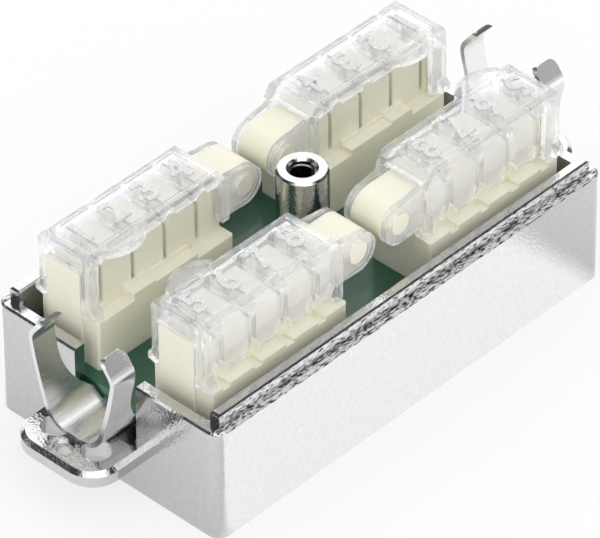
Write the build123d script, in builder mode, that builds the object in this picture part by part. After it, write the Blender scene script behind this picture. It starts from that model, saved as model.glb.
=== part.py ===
"""Shielded surface mount cable connection box, open: tray, board, terminal blocks and clips.

Millimetres. X runs along the box from the near end to the far end, Y across it and Z up.
The origin lies under the centre of the box, in the plane that it stands on.
"""
from build123d import *
import os
from math import radians

os.makedirs("parts", exist_ok=True)

# Housing: a die-cast tray with a lip along each side wall
body_length = 66.4
body_width = 36.0
wall_height = 15.8
body_corner = 1.8
floor_thickness = 1.6
end_wall = 1.6
side_wall = 2.6
inner_corner = 0.8
edge_bevel = 0.25
lip_thickness = 1.5
lip_height = 1.75
lip_end_gap = 1.5

# Ears at mid-height, with two through holes and a counterbored one in each
ear_reach = 9.3
ear_width = 14.2
ear_thickness = 2.5
ear_top = 8.4
ear_corner = 4.0
ear_edge_bevel = 0.55
tie_hole_radius = 1.9
tie_hole_from_tip = 4.4
tie_hole_spacing = 6.5
screw_hole_radius = 1.0
screw_sink_radius = 1.4
screw_sink_depth = 0.4
screw_hole_from_tip = 2.4

# Cable opening in each end wall, and the shelf behind it that carries the clip
opening_width = 9.8
shelf_width = 8.0
shelf_length = 5.1
hook_size = 1.6
hook_from_wall = 2.6

# Central post for the lid screw, and the corner pads under the board
post_radius = 3.2
post_top = 25.9
post_shoulder_width = 8.4
thread_core_radius = 1.65
thread_depth = 14.0
thread_mouth = 0.3
corner_pad = 4.0

# Cable clip, bent from a flat spring-metal blank: seat, bowl, arm, crook and tip on each side
clip_thickness = 0.6
clip_front_from_wall = 5.3
clip_seat_width = 2.4
clip_bowl_radius = 3.6
clip_bowl_angle = 72
clip_arm_length = 8.9
clip_arm_bend = 7.5
clip_crook_radius = 2.4
clip_crook_angle = 47.5
clip_tip_length = 2.3
clip_arm_width = 3.5
clip_flare_rise = 9.6
clip_flare_waist = (1.4, 3.8)
clip_neck_rise = 1.8
clip_tip_round = 1.1
tongue_width = 4.4
tongue_length = 4.4
tongue_slot_gap = 0.1

# Circuit board
board_gap = 0.3
board_thickness = 1.6
board_corner = 0.6
board_post_gap = 0.2

# Terminal blocks: a base with a ledge, and a slotted tower
block_width = 9.4
block_middle_gap = 14.2
block_end_gap = 1.5
block_side_gap = 1.6
base_height = 7.05
shoulder_recess = 0.4
pillar_width = 4.4
pillar_length = 1.7
pillar_drop = 1.2
pillar_top_recess = 1.1
wing_reach = 3.3
tower_width = 5.6
tower_height = 7.55
block_corner = 0.3
slot_count = 4
slot_from_end = 2.8
slot_from_inner_end = 4.3
slot_width = 0.6
slot_depth = 6.7
slot_mouth = 2.4
slot_mouth_depth = 1.4
notch_width = 1.3
notch_depth = 0.5
ledge_step_low = 0.7
ledge_step_high = 1.0
ledge_rib_width = 0.35
ledge_rib_height = 0.45

# Hinge lug on the block, with a pin on each side
lug_reach = 3.5
lug_radius = 2.75
lug_width = 4.6
hinge_rise = 4.4
pin_radius = 1.475
pin_length = 0.9
pin_clearance = 0.05

# Insulation displacement contacts
contact_width = 3.4
contact_thickness = 0.4
contact_top_drop = 1.0
contact_slit = 0.4
contact_slit_depth = 4.8
contact_mouth = 0.9
contact_gap = 0.1
tail_width = 0.6
tail_below_board = 1.4
tail_hole_gap = 0.15

# Clear caps, one over each block
cap_width = 8.0
cap_wall = 0.95
roof_thickness = 0.9
roof_above_tower = 2.2
roof_bevel = 0.6
panel_border = 1.0
panel_depth = 0.25
cap_overhang = 0.1
roof_inner_from_base = 1.4
slope_foot_from_base = 0.16
slope_foot_above_tower = 0.2
ear_plate_outer_width = 6.6
ear_plate_gap = 0.2
ear_sweep_radius = 4.9
running_gap = 0.3
leg_size = 1.5
leg_foot_gap = 0.25
wing_leg_thickness = 0.7
inner_leg_length = 1.15
inner_leg_short = 1.7
end_skirt_depth = 3.1
rail_depth = 2.5
tooth_foot_gap = 1.35
tooth_gap = 0.8
tooth_chamfer_width = 0.8
tooth_chamfer_height = 1.6
inner_tooth_from_base = 1.4
short_skirt_depth = 1.8
skirt_notch_height = 0.55
tab_from_end = 5.8
tab_chord = 7.4
tab_reach = 1.6
tab_thickness = 1.3
nub_reach = 0.7
nub_height = 1.8
nub_slope = 0.4
pusher_thickness = 0.5
pusher_reach = 2.2
pusher_split = 1.2

# Places that follow from the sizes above
inner_length = body_length - 2 * end_wall
inner_width = body_width - 2 * side_wall
ear_tip = body_length / 2 + ear_reach
ear_bottom = ear_top - ear_thickness
tie_hole_x = ear_tip - tie_hole_from_tip
screw_hole_x = ear_tip - screw_hole_from_tip
board_bottom = ear_top + clip_thickness
board_top = board_bottom + board_thickness
board_length = inner_length - 2 * board_gap
board_width = inner_width - 2 * board_gap
hook_x = inner_length / 2 - hook_from_wall

block_outer = inner_length / 2 - block_end_gap
block_inner = block_middle_gap / 2
block_length = block_outer - block_inner
row_y = inner_width / 2 - block_side_gap - block_width / 2
ledge_top = board_top + base_height
tower_top = ledge_top + tower_height
pillar_top = tower_top - pillar_drop
tower_outer = block_outer - pillar_length
slot_pitch = (block_length - slot_from_end - slot_from_inner_end) / (slot_count - 1)
slots_x = [block_outer - slot_from_end - slot_pitch * n for n in range(slot_count)]
contact_top = tower_top - contact_top_drop
tail_bottom = board_bottom - tail_below_board

hinge_x = block_inner - lug_reach
hinge_z = ledge_top + hinge_rise
lug_top = hinge_z + lug_radius
lug_bottom = hinge_z - lug_radius
tower_inner = hinge_x + ear_sweep_radius + running_gap

roof_top = tower_top + roof_above_tower
roof_bottom = roof_top - roof_thickness
cap_outer = block_outer + cap_overhang
roof_inner = block_inner + roof_inner_from_base
slope_foot_x = block_inner + slope_foot_from_base
slope_foot_z = tower_top + slope_foot_above_tower
leg_foot = ledge_top + leg_foot_gap
inner_leg_end = block_inner + inner_leg_length
ear_plate_inner = lug_width / 2 + ear_plate_gap
ear_plate_thickness = ear_plate_outer_width / 2 - ear_plate_inner

ends = {"near": -1, "far": 1}
rows = {"left": 1, "right": -1}


def across(y):
    """Plane that faces along Y at a distance y, with its own axes along X and Z."""
    return Plane.XZ.offset(-y)


def in_quadrant(piece, end, row):
    """The far left piece, mirrored to the end and the row that it is wanted in."""
    if end < 0:
        piece = mirror(piece, about=Plane.YZ, mode=Mode.PRIVATE)
    if row < 0:
        piece = mirror(piece, about=Plane.XZ, mode=Mode.PRIVATE)
    return piece


def save(piece, name):
    """Labels a finished piece and writes its file."""
    piece.label = name
    export_step(piece, f"parts/{name}.step")


# Housing
with BuildPart() as housing:
    # The ears are one plate that runs through the body
    with BuildSketch(Plane.XY.offset(ear_bottom)):
        RectangleRounded(2 * ear_tip, ear_width, ear_corner)
    extrude(amount=ear_thickness)
    chamfer(housing.faces().filter_by(Axis.Z).edges(), min(ear_edge_bevel, 0.3 * ear_thickness))

    # Body, with its rim slightly broken
    with BuildSketch():
        RectangleRounded(body_length, body_width, body_corner)
    extrude(amount=wall_height)
    chamfer(housing.faces().sort_by(Axis.Z)[-1].edges(), edge_bevel)

    # Lips, level with the inside of the side walls
    with BuildSketch(Plane.XY.offset(wall_height)):
        with GridLocations(0, inner_width + lip_thickness, 1, 2):
            Rectangle(body_length - 2 * lip_end_gap, lip_thickness)
    extrude(amount=lip_height)
    chamfer(housing.faces().sort_by(Axis.Z)[-2:].edges(), edge_bevel)

    # Inside of the tray
    with BuildSketch(Plane.XY.offset(floor_thickness)):
        RectangleRounded(inner_length, inner_width, inner_corner)
    extrude(amount=wall_height + lip_height, mode=Mode.SUBTRACT)

    # Shelves behind the cable openings, then the openings down to them
    shelf_x = (inner_length - shelf_length) / 2
    with BuildSketch(Plane.XY.offset(floor_thickness)):
        with GridLocations(2 * shelf_x, 0, 2, 1):
            Rectangle(shelf_length, shelf_width)
    extrude(amount=ear_top - floor_thickness)
    with BuildSketch(Plane.XY.offset(ear_top)):
        with GridLocations(body_length - end_wall, 0, 2, 1):
            Rectangle(2 * end_wall, opening_width)
    extrude(amount=wall_height, mode=Mode.SUBTRACT)
    with BuildSketch(Plane.XY.offset(ear_top)):
        with GridLocations(2 * hook_x, 0, 2, 1):
            Rectangle(hook_size, hook_size)
    extrude(amount=clip_thickness)

    # Post with a square shoulder, and corner pads, both under the board
    with BuildSketch(Plane.XY.offset(floor_thickness)):
        Rectangle(post_shoulder_width, post_shoulder_width)
        with GridLocations(inner_length, inner_width, 2, 2):
            Rectangle(2 * corner_pad, 2 * corner_pad)
        Rectangle(inner_length + end_wall, inner_width + end_wall, mode=Mode.INTERSECT)
    extrude(amount=board_bottom - floor_thickness)
    with BuildSketch(Plane.XY.offset(floor_thickness)):
        Circle(post_radius)
    extrude(amount=post_top - floor_thickness)
    chamfer(housing.faces().sort_by(Axis.Z)[-1].edges(), edge_bevel)
    with Locations((0, 0, post_top)):
        CounterSinkHole(thread_core_radius, thread_core_radius + thread_mouth, depth=thread_depth)

    # Holes through the ears
    with Locations((0, 0, ear_top)):
        with GridLocations(2 * tie_hole_x, tie_hole_spacing, 2, 2):
            Hole(tie_hole_radius, depth=ear_thickness)
        with GridLocations(2 * screw_hole_x, 0, 2, 1):
            CounterBoreHole(screw_hole_radius, screw_sink_radius, screw_sink_depth, depth=ear_thickness)
save(housing.part, "housing")


# Circuit board, with holes for the post and the contact tails
with BuildPart() as board:
    with BuildSketch(Plane.XY.offset(board_bottom)) as outline:
        Rectangle(board_length, board_width)
        chamfer(outline.vertices(), board_corner)
        Circle(post_radius + board_post_gap, mode=Mode.SUBTRACT)
        with Locations(*[(end * x, row * row_y) for x in slots_x for end in (-1, 1) for row in (-1, 1)]):
            hole_width = tail_width + 2 * tail_hole_gap
            Rectangle(hole_width, contact_thickness + 2 * tail_hole_gap, mode=Mode.SUBTRACT)
    extrude(amount=board_thickness)
save(board.part, "circuit_board")


def terminal_block(wing):
    """Block of the far left quadrant: base, slotted tower, hinge lug and pins.

    Its end plate reaches further to one side: wing is 1 for the side wall, -1 for the middle.
    """
    plate_width = wing_reach + pillar_width / 2
    plate_y = row_y + wing * (wing_reach - pillar_width / 2) / 2
    with BuildPart() as block:
        # Base, with its outer corners set back beside the pillar
        with BuildSketch(Plane.XY.offset(board_top)):
            with Locations((block_inner, row_y)):
                Rectangle(block_length - shoulder_recess, block_width, align=(Align.MIN, Align.CENTER))
        extrude(amount=base_height)
        chamfer(block.edges().filter_by(Axis.Z), block_corner)
        with BuildSketch(Plane.XY.offset(board_top)):
            with Locations((block_outer, plate_y)):
                Rectangle(block_length / 2, plate_width, align=(Align.MAX, Align.CENTER))
        extrude(amount=base_height)

        # Tower, and the narrower pillar that closes its outer end
        with BuildSketch(across(row_y)):
            with Locations((tower_inner, ledge_top)):
                Rectangle(tower_outer - tower_inner, tower_height, align=Align.MIN)
        extrude(amount=tower_width / 2, both=True)
        with BuildSketch(Plane.XY.offset(ledge_top)):
            with Locations((block_outer, plate_y)):
                Rectangle(pillar_length, plate_width, align=(Align.MAX, Align.CENTER))
        extrude(amount=pillar_top - ledge_top)
        with BuildSketch(across(row_y)):
            with Locations((block_outer - pillar_top_recess, ledge_top)):
                Rectangle(2 * pillar_length, tower_height, align=(Align.MAX, Align.MIN))
        extrude(amount=pillar_width / 2, both=True)

        # Hinge lug and its pins
        with BuildSketch(across(row_y)):
            with Locations((hinge_x, hinge_z)):
                Circle(lug_radius)
            with Locations((hinge_x, lug_bottom)):
                Rectangle(2 * lug_radius + lug_reach, 2 * lug_radius, align=Align.MIN)
            with Locations((block_inner, ledge_top)):
                Rectangle(2 * lug_radius, lug_bottom - ledge_top, align=Align.MIN)
        extrude(amount=lug_width / 2, both=True)
        with BuildSketch(across(row_y)):
            with Locations((hinge_x, hinge_z)):
                Circle(pin_radius)
        extrude(amount=lug_width / 2 + pin_length, both=True)

        # Wire slots with wide mouths, and the notches in the ledge below them
        with BuildSketch(across(row_y)):
            for x in slots_x:
                with Locations((x, tower_top)):
                    Rectangle(slot_width, slot_depth, align=(Align.CENTER, Align.MAX))
                    Polygon(
                        (-slot_mouth / 2, 0), (slot_mouth / 2, 0),
                        (slot_width / 2, -slot_mouth_depth), (-slot_width / 2, -slot_mouth_depth),
                        align=None,
                    )
        extrude(amount=tower_width / 2, both=True, mode=Mode.SUBTRACT)
        with BuildSketch(Plane.XY.offset(ledge_top)):
            for x in slots_x:
                with Locations((x, row_y + tower_width / 2)):
                    Rectangle(notch_width, block_width, align=(Align.CENTER, Align.MIN))
        extrude(amount=-notch_depth, mode=Mode.SUBTRACT)

        # Steps of the ledge towards the middle of the box, with a rib at the tower's foot
        beside = slot_pitch / 3
        step_edges = [slots_x[-1] + beside, slots_x[1] - beside, slots_x[1] + beside]
        heights = [ledge_step_low, ledge_step_high]
        for left, right, height in zip(step_edges, step_edges[1:], heights):
            with BuildSketch(Plane.XY.offset(ledge_top)):
                with Locations((left, row_y - tower_width / 2)):
                    ledge_width = (block_width - tower_width) / 2
                    Rectangle(right - left, ledge_width, align=(Align.MIN, Align.MAX))
            extrude(amount=height)
            with BuildSketch(Plane.XY.offset(ledge_top + height)):
                with Locations((left, row_y - tower_width / 2)):
                    Rectangle(right - left, ledge_rib_width, align=(Align.MIN, Align.MAX))
            extrude(amount=ledge_rib_height)

        # Pockets for the contacts, open towards the board
        with BuildSketch(Plane.XY.offset(board_top)):
            with Locations(*[(x, row_y) for x in slots_x]):
                Rectangle(contact_width + 2 * contact_gap, contact_thickness + 2 * contact_gap)
        extrude(amount=contact_top + contact_gap - board_top, mode=Mode.SUBTRACT)
    return block.part


def contact(x):
    """Forked contact blade across a wire slot, with its tail through the board."""
    with BuildPart() as blade:
        with BuildSketch(across(row_y)):
            with Locations((x, board_top)):
                Rectangle(contact_width, contact_top - board_top, align=(Align.CENTER, Align.MIN))
            with Locations((x, tail_bottom)):
                Rectangle(tail_width, board_top - tail_bottom, align=(Align.CENTER, Align.MIN))
            with Locations((x, contact_top)):
                fork = (Align.CENTER, Align.MAX)
                Rectangle(contact_slit, contact_slit_depth, align=fork, mode=Mode.SUBTRACT)
                Polygon(
                    (-contact_mouth / 2, 0), (contact_mouth / 2, 0), (0, -contact_mouth),
                    align=None, mode=Mode.SUBTRACT,
                )
        extrude(amount=contact_thickness / 2, both=True)
    return blade.part


def tooth(left, right, foot, top):
    """Comb tooth between two edges, with its lower corners cut off; drawn in a side sketch."""
    Polygon(
        (left, top), (left, foot + tooth_chamfer_height), (left + tooth_chamfer_width, foot),
        (right - tooth_chamfer_width, foot), (right, foot + tooth_chamfer_height), (right, top),
        align=None,
    )


def cap(wing):
    """Clear cap of the far left quadrant: roof, comb side, short side, legs, ears and tab.

    One outer leg clears the wing of the block's end plate, on the same side as in the block.
    """
    half = cap_width / 2
    wing_leg = wing_reach + running_gap
    wall_middle = half - cap_wall / 2
    tooth_foot = ledge_top + tooth_foot_gap
    with BuildPart() as lid:
        # Roof, with its slope at the hinge end and the skirt at the outer end
        with BuildSketch(across(row_y)):
            Polygon(
                (cap_outer, roof_top - end_skirt_depth), (cap_outer, roof_top), (roof_inner, roof_top),
                (slope_foot_x, slope_foot_z), (slope_foot_x + roof_thickness, slope_foot_z),
                (roof_inner + roof_thickness / 2, roof_bottom), (cap_outer - roof_thickness, roof_bottom),
                (cap_outer - roof_thickness, roof_top - end_skirt_depth),
                align=None,
            )
        extrude(amount=half, both=True)
        upper = lid.faces().sort_by(Axis.Z)[-1].edges()
        chamfer(upper.filter_by(Axis.X) + upper.filter_by(Axis.Y).sort_by(Axis.X)[-1:], roof_bevel)

        # Legs at the corners of the outer end
        with BuildSketch(Plane.XY.offset(leg_foot)):
            with Locations((cap_outer - leg_size / 2, row_y)):
                with GridLocations(0, cap_width - leg_size, 1, 2):
                    Rectangle(leg_size, leg_size)
        extrude(amount=roof_bottom - leg_foot)

        # Comb side, towards the side wall
        with BuildSketch(across(row_y + wall_middle)):
            with Locations((block_inner, roof_top - rail_depth)):
                Rectangle(cap_outer - block_inner, rail_depth - roof_thickness, align=Align.MIN)
            edges = [cap_outer] + [x + s * tooth_gap / 2 for x in slots_x for s in (1, -1)]
            edges = edges + [block_inner + inner_tooth_from_base]
            for right, left in zip(edges[0::2], edges[1::2]):
                tooth(left, right, tooth_foot, roof_bottom)
            with Locations((block_inner, leg_foot)):
                Rectangle(inner_leg_length, roof_bottom - leg_foot, align=Align.MIN)
            with Locations((block_inner, tooth_foot + tooth_chamfer_height)):
                web_height = roof_bottom - tooth_foot - tooth_chamfer_height
                Rectangle(inner_tooth_from_base, web_height, align=Align.MIN)
        extrude(amount=cap_wall / 2, both=True)

        # Short side, towards the middle of the box
        with BuildSketch(across(row_y - wall_middle)):
            with Locations((block_inner, roof_top - short_skirt_depth)):
                Rectangle(cap_outer - block_inner, short_skirt_depth - roof_thickness, align=Align.MIN)
            with Locations(*[(x, roof_top - short_skirt_depth) for x in slots_x]):
                Rectangle(2 * tooth_gap, 2 * skirt_notch_height, mode=Mode.SUBTRACT)
            with Locations((block_inner, leg_foot + inner_leg_short)):
                leg_height = roof_bottom - leg_foot - inner_leg_short
                Rectangle(inner_leg_length, leg_height, align=Align.MIN)
        extrude(amount=cap_wall / 2, both=True)
        with BuildSketch(across(row_y)):
            Polygon(
                (slope_foot_x, slope_foot_z), (roof_inner, roof_top),
                (hinge_x, roof_top), (hinge_x, slope_foot_z),
                align=None,
            )
        extrude(amount=cap_width, both=True, mode=Mode.SUBTRACT)

        # Room for the wing, and the thinner leg beside it
        beside_slot = slots_x[0] + tooth_gap / 2
        beside_width = cap_outer - beside_slot
        with BuildSketch(Plane.XY.offset(leg_foot)):
            with Locations((beside_slot, row_y + wing * wing_leg / 2)):
                Rectangle(2 * beside_width, wing_leg, align=(Align.MIN, Align.CENTER))
        extrude(amount=pillar_top + running_gap - leg_foot, mode=Mode.SUBTRACT)
        with BuildSketch(Plane.XY.offset(leg_foot)):
            with Locations((beside_slot, row_y + wing * (wing_leg + wing_leg_thickness / 2))):
                Rectangle(beside_width, wing_leg_thickness, align=(Align.MIN, Align.CENTER))
        extrude(amount=roof_bottom - leg_foot)

        # Ears on both sides of the lug, with the pin holes
        for side in (1, -1):
            with BuildSketch(across(row_y + side * (ear_plate_inner + ear_plate_thickness / 2))):
                with Locations((hinge_x, hinge_z)):
                    Circle(lug_radius)
                Polygon(
                    (hinge_x, lug_bottom), (inner_leg_end, leg_foot + inner_leg_short),
                    (inner_leg_end, slope_foot_z), (slope_foot_x, slope_foot_z), (hinge_x, lug_top),
                    align=None,
                )
                with Locations((hinge_x, hinge_z)):
                    Circle(ear_sweep_radius, mode=Mode.INTERSECT)
                    Circle(pin_radius + pin_clearance, mode=Mode.SUBTRACT)
            extrude(amount=ear_plate_thickness / 2, both=True)

        # Thumb tab on the short side
        tab_x = cap_outer - tab_from_end
        tab_y = row_y - half
        with BuildSketch(Plane.XY.offset(roof_top - tab_thickness)):
            with BuildLine():
                ThreePointArc(
                    (tab_x - tab_chord / 2, tab_y), (tab_x, tab_y - tab_reach),
                    (tab_x + tab_chord / 2, tab_y),
                )
                tab_root = tab_y + roof_bevel
                Polyline(
                    (tab_x + tab_chord / 2, tab_y), (tab_x + tab_chord / 2, tab_root),
                    (tab_x - tab_chord / 2, tab_root), (tab_x - tab_chord / 2, tab_y),
                )
            make_face()
        extrude(amount=tab_thickness)

        # Nubs at the feet of the outer legs
        with BuildSketch(Plane.YZ.offset(cap_outer)):
            for side in (wing, -wing):
                reach = wing_leg + wing_leg_thickness if side == wing else half
                face = row_y + side * reach
                tip = face + side * nub_reach
                Polygon(
                    (face - side * nub_slope, leg_foot), (tip, leg_foot + nub_slope / 2),
                    (tip, leg_foot + nub_height - nub_reach), (face, leg_foot + nub_height),
                    (face - side * nub_slope, leg_foot + nub_height),
                    align=None,
                )
        extrude(amount=-leg_size)

        # Sunk panel in the roof, for raised marks
        with BuildSketch(Plane.XY.offset(roof_top)):
            with Locations((roof_inner + panel_border, row_y)):
                panel_length = cap_outer - roof_inner - 2 * panel_border
                Rectangle(panel_length, cap_width - 2 * panel_border, align=(Align.MIN, Align.CENTER))
        extrude(amount=-panel_depth, mode=Mode.SUBTRACT)

        # Wire pushers under the roof, split around each contact
        with BuildSketch(Plane.XY.offset(roof_bottom)):
            with Locations(*[(x, row_y) for x in slots_x]):
                Rectangle(pusher_thickness, tower_width - tooth_gap / 2)
                Rectangle(pusher_thickness, pusher_split, mode=Mode.SUBTRACT)
        extrude(amount=-pusher_reach)
    return lid.part


far_left_blocks = {wing: terminal_block(wing) for wing in (1, -1)}
far_left_caps = {wing: cap(wing) for wing in (1, -1)}
far_left_contacts = [contact(x) for x in slots_x]
for end_name, end in ends.items():
    for row_name, row in rows.items():
        place = f"{end_name}_{row_name}"
        wing = -end * row
        save(in_quadrant(far_left_blocks[wing], end, row), f"terminal_block_{place}")
        save(in_quadrant(far_left_caps[wing], end, row), f"cap_{place}")
        for number, blade in enumerate(far_left_contacts, start=1):
            save(in_quadrant(blade, end, row), f"contact_{place}_{number}")


# Cable clip of the far end: a bent strip, its arms narrowed upwards, with a tongue under the board
clip_front = body_length / 2 + clip_front_from_wall
clip_back = inner_length / 2
arm_back = clip_front - clip_arm_width
waist_drop, waist_rise = clip_flare_waist
with BuildPart() as clip:
    with BuildSketch(Plane.YZ.offset(clip_back)):
        with BuildLine():
            seat = Line((0, ear_top), (clip_seat_width / 2, ear_top))
            bowl = JernArc(seat @ 1, seat % 1, clip_bowl_radius, clip_bowl_angle)
            arm_radius = clip_arm_length / radians(clip_arm_bend)
            arm = JernArc(bowl @ 1, bowl % 1, arm_radius, clip_arm_bend)
            crook = JernArc(arm @ 1, arm % 1, clip_crook_radius, clip_crook_angle)
            Line(crook @ 1, crook @ 1 + crook % 1 * clip_tip_length)
            offset(amount=clip_thickness, side=Side.LEFT)
        make_face()
        mirror(about=Plane.YZ)
    extrude(amount=clip_front - clip_back)

    # Side outline: straight in front, flared towards the box below
    clip_height = clip.part.bounding_box().max.Z
    with BuildSketch(across(0)) as side_outline:
        with BuildLine():
            flare = ThreePointArc(
                (clip_back, ear_top + clip_neck_rise),
                (arm_back - waist_drop, ear_top + waist_rise),
                (arm_back, ear_top + clip_flare_rise),
            )
            Polyline(
                flare @ 1, (arm_back, clip_height), (clip_front, clip_height), (clip_front, ear_top),
                (clip_back, ear_top), flare @ 0,
            )
        make_face()
        fillet(side_outline.vertices().sort_by(Axis.Y)[-2:], clip_tip_round)
    extrude(amount=body_width, both=True, mode=Mode.INTERSECT)

    # Tongue, with a slot for the hook on the shelf
    with BuildSketch(Plane.XY.offset(ear_top)):
        with Locations((inner_length / 2 - tongue_length, 0)):
            Rectangle(tongue_length + end_wall, tongue_width, align=(Align.MIN, Align.CENTER))
        with Locations((hook_x, 0)):
            slot_size = hook_size + 2 * tongue_slot_gap
            Rectangle(slot_size, slot_size, mode=Mode.SUBTRACT)
    extrude(amount=clip_thickness)
for end_name, end in ends.items():
    save(in_quadrant(clip.part, end, 1), f"cable_clip_{end_name}")
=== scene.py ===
"""Looks of an open shielded cable connection box: plated tray, green board, cream blocks, clear caps."""

import math

import bpy
from mathutils import Matrix, Vector


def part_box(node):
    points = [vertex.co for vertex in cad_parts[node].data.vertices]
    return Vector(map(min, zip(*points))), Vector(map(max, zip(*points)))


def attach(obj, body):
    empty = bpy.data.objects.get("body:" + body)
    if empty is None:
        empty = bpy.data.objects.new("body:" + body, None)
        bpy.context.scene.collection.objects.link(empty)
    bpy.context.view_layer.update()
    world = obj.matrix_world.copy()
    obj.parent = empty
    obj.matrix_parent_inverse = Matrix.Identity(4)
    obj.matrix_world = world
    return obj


MM = 0.001
WHITE = (1.0, 1.0, 1.0, 1.0)

# Camera, as solved from the photograph's straight edges
CAMERA_AZIMUTH = -46.32
CAMERA_ELEVATION = 39.65
CAMERA_ROLL = -0.49
CAMERA_DISTANCE = 0.7666
CAMERA_RIGHT = -0.000458
CAMERA_UP = 0.008104
SENSOR_WIDTH = 36.0
LENS = 385.6

# Raised numbers on the caps, and the thread in the post
DIGIT_SIZE = 5.2 * MM
DIGIT_HEIGHT = 0.24 * MM
DIGIT_BOLD = 0.10 * MM
PANEL_DEPTH = 0.25 * MM
THREAD_TOP_DROP = 0.6 * MM
THREAD_RADIUS = 1.68 * MM
THREAD_PITCH = 0.7 * MM
THREAD_TURNS = 9
THREAD_STEPS = 28
WELD_DISTANCE = 0.002 * MM

# Outer side of the lips: where it starts beside the middle, its top, and the rim of the wall below it
LIP_SIDE = 16.85 * MM
LIP_TOP = 17.55 * MM
RIM_HEIGHT = 15.5 * MM

# How much more of the lip's painted reflection specks are dark with each metre down from the top, and how
# much less with each metre out
PAINTED_SPECK_GAIN = 60.0

# How much brighter the surroundings are to polished metal, as nickel gives back only two thirds
MIRROR_GAIN = 1.68

# Floor: its size, how much of it glows, and the reach from the middle that the grey stops of its painted
# shade count in
FLOOR_SIZE = 6.0
FLOOR_GLOW = 0.7
FLOOR_REACH = 100 * MM

# Ends of the box on the X axis, and the rows of blocks with the first number on each
ENDS = {"near": -1, "far": 1}
SLOTS = 4
FIRST_DIGITS = {"left": 1, "right": 1 + SLOTS}
PLACES = [f"{end}_{row}" for end in ENDS for row in FIRST_DIGITS]

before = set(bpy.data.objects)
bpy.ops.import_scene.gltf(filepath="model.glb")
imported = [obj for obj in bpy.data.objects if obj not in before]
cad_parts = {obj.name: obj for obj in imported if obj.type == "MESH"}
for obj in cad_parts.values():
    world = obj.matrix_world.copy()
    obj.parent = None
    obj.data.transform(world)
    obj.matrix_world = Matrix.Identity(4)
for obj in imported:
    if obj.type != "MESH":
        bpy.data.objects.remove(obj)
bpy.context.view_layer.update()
bpy.ops.object.select_all(action="DESELECT")


class Shade:
    """A socket of a node tree that Python's arithmetic adds Math nodes to."""

    def __init__(self, tree, socket=None):
        self.tree = tree
        self.socket = socket

    def make(self, kind, settings=None, inputs=None, stops=None, output=0):
        """Adds a node: its settings and grey ramp stops are set first, then its sockets' values or links."""
        node = self.tree.nodes.new(kind)
        for name, value in (settings or {}).items():
            setattr(node, name, value)
        if stops:
            elements = node.color_ramp.elements
            while len(elements) < len(stops):
                elements.new(1.0)
            for element, (position, grey) in zip(elements, stops):
                element.position = position
                element.color = (grey, grey, grey, 1.0)
        for name, value in (inputs or {}).items():
            socket = node.inputs[name]
            if isinstance(value, Shade):
                self.tree.links.new(value.socket, socket)
            else:
                socket.default_value = value
        return Shade(self.tree, node.outputs[output]) if node.outputs else None

    def maths(self, operation, *values):
        return self.make("ShaderNodeMath", {"operation": operation}, dict(enumerate(values)))

    def __add__(self, other):
        return self.maths("ADD", self, other)

    def __radd__(self, other):
        return self.maths("ADD", other, self)

    def __sub__(self, other):
        return self.maths("SUBTRACT", self, other)

    def __rsub__(self, other):
        return self.maths("SUBTRACT", other, self)

    def __mul__(self, other):
        return self.maths("MULTIPLY", self, other)

    def __rmul__(self, other):
        return self.maths("MULTIPLY", other, self)

    def above(self, limit):
        return self.maths("GREATER_THAN", self, limit)

    def larger(self, other):
        return self.maths("MAXIMUM", self, other)

    def size(self):
        return self.maths("ABSOLUTE", self)

    def parts(self):
        """X, Y and Z of a vector."""
        return [self.make("ShaderNodeSeparateXYZ", inputs={"Vector": self}, output=axis) for axis in "XYZ"]


def object_point(shade):
    return shade.make("ShaderNodeTexCoord", output="Object")


def stretched(shade, point, scale):
    return shade.make("ShaderNodeMapping", inputs={"Vector": point, "Scale": scale})


def noise(shade, point, per_metre, detail=2.0, roughness=0.5):
    return shade.make(
        "ShaderNodeTexNoise",
        inputs={"Vector": point, "Scale": per_metre, "Detail": detail, "Roughness": roughness},
        output="Fac",
    )


def ramp(shade, factor, stops):
    """A grey that follows the factor through the stops."""
    return shade.make("ShaderNodeValToRGB", inputs={"Fac": factor}, stops=stops)


def between(shade, factor, low, high):
    """A number that goes from low to high as the factor goes from 0 to 1."""
    return shade.make("ShaderNodeMapRange", inputs={"Value": factor, "To Min": low, "To Max": high})


def blended(shade, factor, first, second):
    """A colour that goes from the first to the second with the factor."""
    first, second = ((*c, 1.0) if isinstance(c, tuple) else c for c in (first, second))
    inputs = {"Factor": factor, 6: first, 7: second}
    return shade.make("ShaderNodeMix", {"data_type": "RGBA"}, inputs, output=2)


def bump(shade, height, distance, strength=1.0, normal=None):
    inputs = {"Height": height, "Distance": distance, "Strength": strength}
    if normal:
        inputs["Normal"] = normal
    return shade.make("ShaderNodeBump", inputs=inputs)


def glow(shade, strength):
    return shade.make("ShaderNodeEmission", inputs={"Color": WHITE, "Strength": strength}, output="Emission")


def mixed(shade, factor, first, second):
    """A surface that goes from the first to the second with the factor."""
    return shade.make("ShaderNodeMixShader", inputs={0: factor, 1: first, 2: second}, output="Shader")


def ray(shade, kind):
    """1 where the ray that looks is of this kind."""
    return shade.make("ShaderNodeLightPath", output=f"Is {kind} Ray")


def polished_ray(shade):
    """1 where polished metal looks. A ray that passes through clear plastic counts as glossy too."""
    return ray(shade, "Glossy") * (1.0 - ray(shade, "Transmission"))


def new_material(name):
    material = bpy.data.materials.new(name)
    material.use_nodes = True
    material.node_tree.nodes.clear()
    return material, Shade(material.node_tree)


def close_material(shade, sockets):
    """Ends a material with a Principled BSDF that has the given values and links."""
    surface = shade.make("ShaderNodeBsdfPrincipled", inputs=sockets, output="BSDF")
    shade.make("ShaderNodeOutputMaterial", inputs={"Surface": surface})


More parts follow.
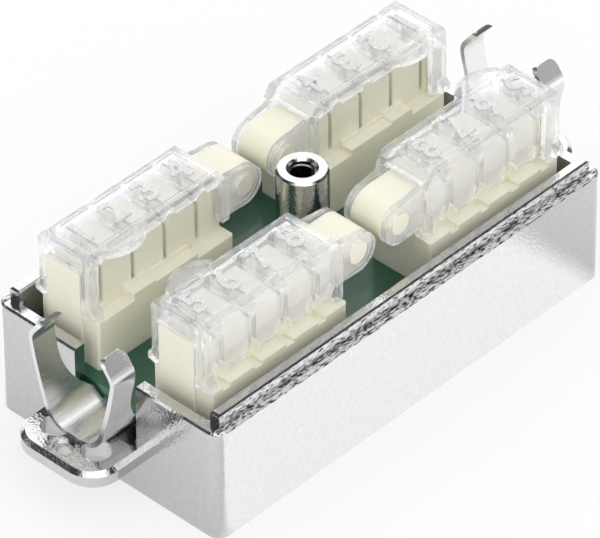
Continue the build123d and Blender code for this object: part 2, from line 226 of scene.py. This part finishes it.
def plated_casting():
    """Bright nickel over a zinc casting: fine grain, slow waves, and painted reflection as dark specks on
    the lips' outer side.
    """
    material, shade = new_material("plated_casting")
    point = object_point(shade)
    grain = noise(shade, point, 2600)
    waves = noise(shade, point, 260)
    patches = noise(shade, point, 1500, detail=4.0)
    plain = blended(shade, patches, (0.53, 0.53, 0.54), (0.65, 0.65, 0.65))

    # Painted reflection: dark specks on a light ground, in rows that thin out towards the lip's top and the
    # wall's rim
    y, z = point.parts()[1:]
    aside = y.size()
    on_lip = aside.above(LIP_SIDE) * z.above(RIM_HEIGHT)
    dots = noise(shade, stretched(shade, point, (1100.0, 4800.0, 4800.0)), 1.0, detail=3.0, roughness=0.65)
    share = (LIP_TOP - z) * PAINTED_SPECK_GAIN - (aside - LIP_SIDE) * PAINTED_SPECK_GAIN
    painted_reflection_specks = ramp(shade, dots - share, [(0.37, 0.06), (0.45, 0.86)])

    normal = bump(shade, waves, 0.04 * MM, 0.6)
    normal = bump(shade, grain, 0.04 * MM, 1.0, normal)
    close_material(shade, {
        # On the lip's outer side the colour is the painted reflection specks
        "Base Color": blended(shade, on_lip, plain, painted_reflection_specks),
        "Metallic": 1.0,
        "Roughness": between(shade, patches, 0.06, 0.18) + on_lip * 0.45,
        "Normal": normal,
    })
    return material


def spring_metal():
    """Bright rolled strip with faint drawing marks."""
    material, shade = new_material("spring_metal")
    point = object_point(shade)
    marks = noise(shade, stretched(shade, point, (60.0, 2400.0, 2400.0)), 3.0, detail=3.0)
    waves = noise(shade, point, 420, detail=1.0)
    normal = bump(shade, waves, 0.03 * MM, 0.5)
    normal = bump(shade, marks, 0.006 * MM, 0.3, normal)
    close_material(shade, {
        "Base Color": blended(shade, marks, (0.68, 0.68, 0.69), (0.80, 0.80, 0.80)),
        "Metallic": 1.0,
        "Roughness": between(shade, marks, 0.20, 0.32),
        "Normal": normal,
    })
    return material


def contact_metal():
    """Tinned bronze blades."""
    material, shade = new_material("contact_metal")
    cloud = noise(shade, object_point(shade), 2500, detail=3.0)
    close_material(shade, {
        "Base Color": blended(shade, cloud, (0.62, 0.60, 0.55), (0.80, 0.79, 0.76)),
        "Metallic": 1.0,
        "Roughness": between(shade, cloud, 0.22, 0.42),
        "Normal": bump(shade, cloud, 0.01 * MM, 0.4),
    })
    return material


def board_green():
    """Solder mask over glass cloth."""
    material, shade = new_material("board_green")
    point = object_point(shade)
    cloth = noise(shade, point, 3000)
    cloud = noise(shade, point, 160)
    close_material(shade, {
        "Base Color": blended(shade, cloud, (0.018, 0.085, 0.050), (0.030, 0.120, 0.072)),
        "Roughness": between(shade, cloth, 0.26, 0.40),
        "Normal": bump(shade, cloth, 0.008 * MM, 0.5),
        "Coat Weight": 0.3,
    })
    return material


def cream_plastic():
    """Cream moulded plastic with a fine spark-eroded grain."""
    material, shade = new_material("cream_plastic")
    point = object_point(shade)
    grain = noise(shade, point, 4200, detail=3.0)
    cloud = noise(shade, point, 220)
    close_material(shade, {
        "Base Color": blended(shade, cloud, (0.840, 0.815, 0.665), (0.880, 0.860, 0.730)),
        "Roughness": between(shade, grain, 0.34, 0.48),
        "Subsurface Weight": 0.25,
        "Subsurface Radius": (2.2 * MM, 1.9 * MM, 1.2 * MM),
        "Subsurface Scale": 1.0,
        "Normal": bump(shade, grain, 0.01 * MM, 0.35),
    })
    return material


def clear_plastic():
    """Clear polycarbonate: moulding waves bend what lies behind, and a faint painted-light glow lifts the
    inside.
    """
    material, shade = new_material("clear_plastic")
    point = object_point(shade)
    waves = noise(shade, point, 380)
    grain = noise(shade, point, 3000)
    close_material(shade, {
        "Base Color": blended(shade, waves, (0.93, 0.94, 1.0), (0.98, 0.98, 1.0)),
        "Roughness": between(shade, grain, 0.02, 0.07),
        "IOR": 1.45,
        "Transmission Weight": 0.93,
        "Alpha": 0.74,
        # Painted light: a faint white glow that brightens the caps and what shows through them
        "Emission Color": WHITE,
        "Emission Strength": 0.06,
        "Normal": bump(shade, waves, 0.04 * MM, 0.6),
    })
    return material


def frosted_plastic():
    """The caps' plastic with the dull face that raised marks have."""
    material, shade = new_material("frosted_plastic")
    grain = noise(shade, object_point(shade), 6000)
    close_material(shade, {
        "Base Color": blended(shade, grain, (0.95, 0.95, 0.96), (1.0, 1.0, 1.0)),
        "Roughness": between(shade, grain, 0.18, 0.34),
        "IOR": 1.58,
        "Transmission Weight": 0.45,
        "Alpha": 0.85,
        "Normal": bump(shade, grain, 0.01 * MM, 0.4),
    })
    return material


MATERIALS = {
    "housing": plated_casting(),
    "circuit_board": board_green(),
    "terminal_block": cream_plastic(),
    "cap": clear_plastic(),
    "contact": contact_metal(),
    "cable_clip": spring_metal(),
}


def dress_nodes():
    """Gives each CAD node the finish of its kind."""
    for name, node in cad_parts.items():
        kind = next(k for k in MATERIALS if name.startswith(k))
        node.data.materials.clear()
        node.data.materials.append(MATERIALS[kind])


def join(parts, name):
    """Several meshes as one object, with a name."""
    bpy.ops.object.select_all(action="DESELECT")
    for part in parts:
        part.select_set(True)
    bpy.context.view_layer.objects.active = parts[0]
    bpy.ops.object.join()
    parts[0].name = name
    return parts[0]


def finish_piece(piece, material, body):
    """Closes a piece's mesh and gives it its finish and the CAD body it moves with."""
    bpy.ops.object.mode_set(mode="EDIT")
    bpy.ops.mesh.select_all(action="SELECT")
    bpy.ops.mesh.remove_doubles(threshold=WELD_DISTANCE)
    bpy.ops.mesh.normals_make_consistent(inside=False)
    bpy.ops.object.mode_set(mode="OBJECT")
    piece.data.materials.clear()
    piece.data.materials.append(material)
    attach(piece, body)


def add_digits(place, material):
    """Raised numbers in a cap's sunk panel, one over each wire slot, counted from the end of the box."""
    end, row = place.split("_")
    cap_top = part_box(f"cap_{place}")[1][2]
    block_low, block_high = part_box(f"terminal_block_{place}")
    y = (block_low[1] + block_high[1]) / 2
    z = cap_top - PANEL_DEPTH + DIGIT_HEIGHT / 2
    contacts = [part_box(f"contact_{place}_{n}") for n in range(1, SLOTS + 1)]
    xs = sorted(((low[0] + high[0]) / 2 for low, high in contacts), key=lambda x: x * -ENDS[end])
    digits = []
    for number, x in enumerate(xs, start=FIRST_DIGITS[row]):
        bpy.ops.object.text_add(location=(0, 0, 0))
        digit = bpy.context.object
        digit.data.body = str(number)
        digit.data.align_x = "CENTER"
        digit.data.align_y = "CENTER"
        digit.data.size = DIGIT_SIZE
        digit.data.extrude = DIGIT_HEIGHT / 2
        digit.data.offset = DIGIT_BOLD
        digit.data.resolution_u = 4
        bpy.ops.object.convert(target="MESH")
        digit = bpy.context.object
        digit.location = (x, y, z)
        digit.rotation_euler = (0, 0, 0 if end == "near" else math.pi)
        bpy.ops.object.transform_apply(location=True, rotation=True, scale=True)
        digits.append(digit)
    marks = join(digits, f"cap_marks_{place}")
    finish_piece(marks, material, f"cap_{place}_body")


def add_thread():
    """Helical ridge that stands for the thread in the post's bore."""
    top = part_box("housing")[1][2] - THREAD_TOP_DROP
    ridge = {"vertices": 3, "radius": THREAD_PITCH / 2, "fill_type": "NOTHING"}
    bpy.ops.mesh.primitive_circle_add(location=(0, 0, 0), **ridge)
    thread = bpy.context.object
    bpy.ops.object.mode_set(mode="EDIT")
    bpy.ops.mesh.select_all(action="SELECT")
    bpy.ops.transform.rotate(value=math.radians(90), orient_axis="X", center_override=(0, 0, 0))
    bpy.ops.transform.rotate(value=math.radians(90), orient_axis="Y", center_override=(0, 0, 0))
    bpy.ops.transform.translate(value=(THREAD_RADIUS, 0, top))
    bpy.ops.object.mode_set(mode="OBJECT")
    turns = thread.modifiers.new("turns", "SCREW")
    turns.axis = "Z"
    turns.angle = math.radians(-360)
    turns.screw_offset = -THREAD_PITCH
    turns.iterations = THREAD_TURNS
    turns.steps = THREAD_STEPS
    turns.render_steps = THREAD_STEPS
    turns.use_smooth_shade = False
    bpy.ops.object.modifier_apply(modifier="turns")
    thread.name = "post_thread"
    finish_piece(thread, MATERIALS["housing"], "base")


def towards(azimuth, elevation):
    """Direction from the middle to a heading and a height in degrees."""
    a, e = math.radians(azimuth), math.radians(elevation)
    return Vector((math.sin(a) * math.cos(e), -math.cos(a) * math.cos(e), math.sin(e)))


def add_camera():
    """Camera at the photograph's angle, distance and framing."""
    azimuth = math.radians(CAMERA_AZIMUTH)
    roll = math.radians(CAMERA_ROLL)
    back = towards(CAMERA_AZIMUTH, CAMERA_ELEVATION)
    level = Vector((math.cos(azimuth), math.sin(azimuth), 0.0))
    upright = back.cross(level)
    right = level * math.cos(roll) + upright * math.sin(roll)
    up = upright * math.cos(roll) - level * math.sin(roll)
    data = bpy.data.cameras.new("camera")
    data.sensor_width = SENSOR_WIDTH
    data.lens = LENS
    data.clip_start = 0.05
    data.clip_end = 20.0
    camera = bpy.data.objects.new("camera", data)
    bpy.context.scene.collection.objects.link(camera)
    place = right * CAMERA_RIGHT + up * CAMERA_UP + back * CAMERA_DISTANCE
    turn = Matrix((right, up, back)).transposed().to_4x4()
    camera.matrix_world = Matrix.Translation(place) @ turn
    bpy.context.scene.camera = camera


def add_floor():
    """Pale floor with a soft shadow: polished metal sees it brighter, but with painted shade, greyer, beside
    the ends.
    """
    bpy.ops.mesh.primitive_plane_add(size=FLOOR_SIZE, location=(0, 0, 0))
    floor = bpy.context.object
    floor.name = "floor"
    material, shade = new_material("floor_paper")
    along = object_point(shade).parts()[0].size() * (1 / FLOOR_REACH)
    # Painted shade: the floor that polished metal mirrors is greyer just beside the box's ends
    floor_painted_shade = ramp(shade, along, [(0.30, 1.0), (0.333, 0.52), (0.45, 0.62), (0.62, 0.70), (0.9, 1.0)])
    mirrored = mixed(shade, floor_painted_shade, glow(shade, 0.0), glow(shade, MIRROR_GAIN))
    shine = mixed(shade, polished_ray(shade), glow(shade, 1.0), mirrored)
    seen = ray(shade, "Camera").larger(ray(shade, "Glossy")).larger(ray(shade, "Transmission"))
    paper = shade.make("ShaderNodeBsdfDiffuse", inputs={"Color": (0.92, 0.92, 0.92, 1.0)}, output="BSDF")
    surface = mixed(shade, seen * FLOOR_GLOW, paper, shine)
    shade.make("ShaderNodeOutputMaterial", inputs={"Surface": surface})
    floor.data.materials.append(material)


def add_world():
    """White surroundings, with darker sides at middle height that the polished metal mirrors."""
    world = bpy.data.worlds.new("studio")
    bpy.context.scene.world = world
    world.use_nodes = True
    world.node_tree.nodes.clear()
    shade = Shade(world.node_tree)
    east, north, height = shade.make("ShaderNodeTexCoord", output="Generated").parts()
    # How far a direction points to the side, seen along the camera's heading
    heading = math.radians(CAMERA_AZIMUTH)
    sideways = (east * math.cos(heading) + north * math.sin(heading)).size()
    side = ramp(shade, sideways, [(0.34, 1.0), (0.60, 0.04), (0.86, 0.04), (0.96, 0.45)])
    high = ramp(shade, height, [(0.74, 0.0), (0.90, 1.0)])
    polished = polished_ray(shade)
    level = polished * side.larger(high) * MIRROR_GAIN + (1.0 - polished)
    sky = shade.make("ShaderNodeBackground", inputs={"Color": WHITE, "Strength": level}, output="Background")
    shade.make("ShaderNodeOutputWorld", inputs={"Surface": sky})


def add_lamp(name, azimuth, elevation, distance, size, power):
    """Square soft lamp that faces the box from a heading and a height in degrees."""
    data = bpy.data.lights.new(name, "AREA")
    data.shape = "SQUARE"
    data.size = size
    data.energy = power
    lamp = bpy.data.objects.new(name, data)
    bpy.context.scene.collection.objects.link(lamp)
    back = towards(azimuth, elevation)
    turn = back.to_track_quat("Z", "Y").to_matrix().to_4x4()
    lamp.matrix_world = Matrix.Translation(back * distance) @ turn


dress_nodes()
frosted = frosted_plastic()
for place in PLACES:
    add_digits(place, frosted)
add_thread()
add_camera()
add_floor()
add_world()
add_lamp("key", azimuth=-15.0, elevation=50.0, distance=1.0, size=0.5, power=1.2)
add_lamp("fill", azimuth=-60.0, elevation=25.0, distance=1.0, size=0.7, power=0.4)
bpy.context.scene.view_settings.view_transform = "Standard"
